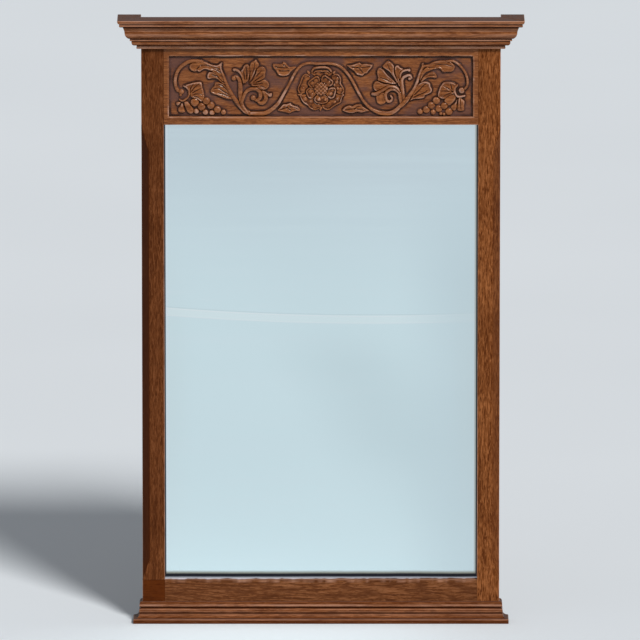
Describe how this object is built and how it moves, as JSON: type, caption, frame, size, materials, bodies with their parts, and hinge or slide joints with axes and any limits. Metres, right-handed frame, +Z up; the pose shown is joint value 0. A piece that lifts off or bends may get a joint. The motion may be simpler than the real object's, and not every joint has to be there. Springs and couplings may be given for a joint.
{
  "type": "carved wall mirror",
  "caption": "Tall oak wall mirror with a mitred cornice, a relief-carved rose and vine frieze, stop-chamfered stiles, a plain plate and a stepped base moulding.",
  "frame": {"origin": "on the wall plane, midway between the stiles, at the foot of the base moulding", "axes": "+X to the right seen from the front, +Y into the wall, +Z up"},
  "size_m": [0.794, 0.073, 1.212],
  "materials": {
    "oak": "waxed",
    "oak_patch": "waxed",
    "pine": "sawn",
    "mirror": "polished",
    "steel": "dulled",
    "brass": "aged"
  },
  "bodies": {
    "root": {"left_stile": "oak", "right_stile": "oak", "left_stile_patch": "oak_patch", "frieze_board": "oak", "bottom_rail": "oak", "cornice_front": "oak", "cornice_return_left": "oak", "cornice_return_right": "oak", "cornice_glue_blocks": "pine", "base_moulding_front": "oak", "base_return_left": "oak", "base_return_right": "oak", "mirror_plate": "mirror", "glazing_blocks": "pine", "backboard_left": "pine", "backboard_middle": "pine", "backboard_right": "pine", "backboard_nails": "steel", "hanger_plate_left": "brass", "hanger_plate_right": "brass", "hanger_screws": "steel"}
  },
  "joints": []
}
